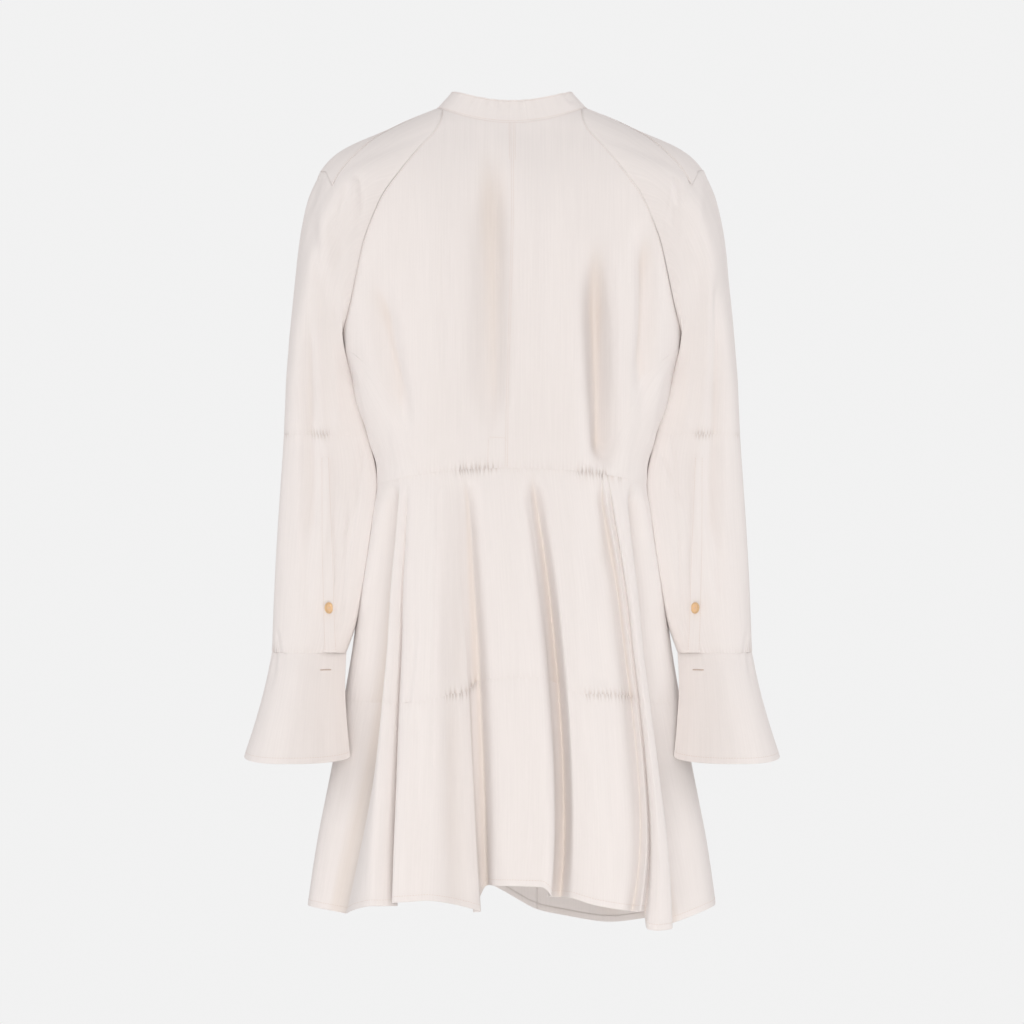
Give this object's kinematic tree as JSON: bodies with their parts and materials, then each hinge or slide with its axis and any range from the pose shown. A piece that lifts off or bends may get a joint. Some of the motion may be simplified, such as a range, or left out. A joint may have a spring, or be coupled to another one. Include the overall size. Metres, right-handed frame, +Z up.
{
  "type": "worn shirt dress",
  "caption": "Short long-sleeved shirt dress shown as worn: stand collar, raglan sleeves with open cuffs, fitted bodice and flared skirt in two tiers.",
  "frame": {"origin": "middle of the neck opening, at the height where the collar seam crosses the shoulder line, where the wearer's neck and shoulders hold the dress", "axes": "+Z up along the dress's length, +Y to the wearer's front, +X to the wearer's right"},
  "size_m": [0.557, 0.302, 0.8831],
  "materials": {
    "poplin": "matt ivory cotton poplin",
    "button": "polished amber horn-coloured resin"
  },
  "bodies": {
    "root": {"back_left": "poplin", "back_right": "poplin", "front_left": "poplin", "front_right": "poplin", "side_left": "poplin", "side_right": "poplin", "collar_band": "poplin", "saddle_left": "poplin", "saddle_right": "poplin", "sleeve_upper_left": "poplin", "sleeve_upper_right": "poplin", "sleeve_lower_left": "poplin", "sleeve_lower_right": "poplin", "sleeve_band_left": "poplin", "sleeve_band_right": "poplin", "cuff_left": "poplin", "cuff_right": "poplin", "skirt_back": "poplin", "skirt_front_left": "poplin", "skirt_front_right": "poplin", "flounce_back": "poplin", "flounce_front_left": "poplin", "flounce_front_right": "poplin", "band_bodice": "poplin", "band_skirt": "poplin", "band_flounce": "poplin", "button_1": "button", "button_2": "button", "button_3": "button", "button_4": "button", "button_5": "button", "button_6": "button", "button_7": "button", "button_8": "button", "button_collar": "button", "sleeve_button_left": "button", "sleeve_button_right": "button"}
  },
  "joints": []
}
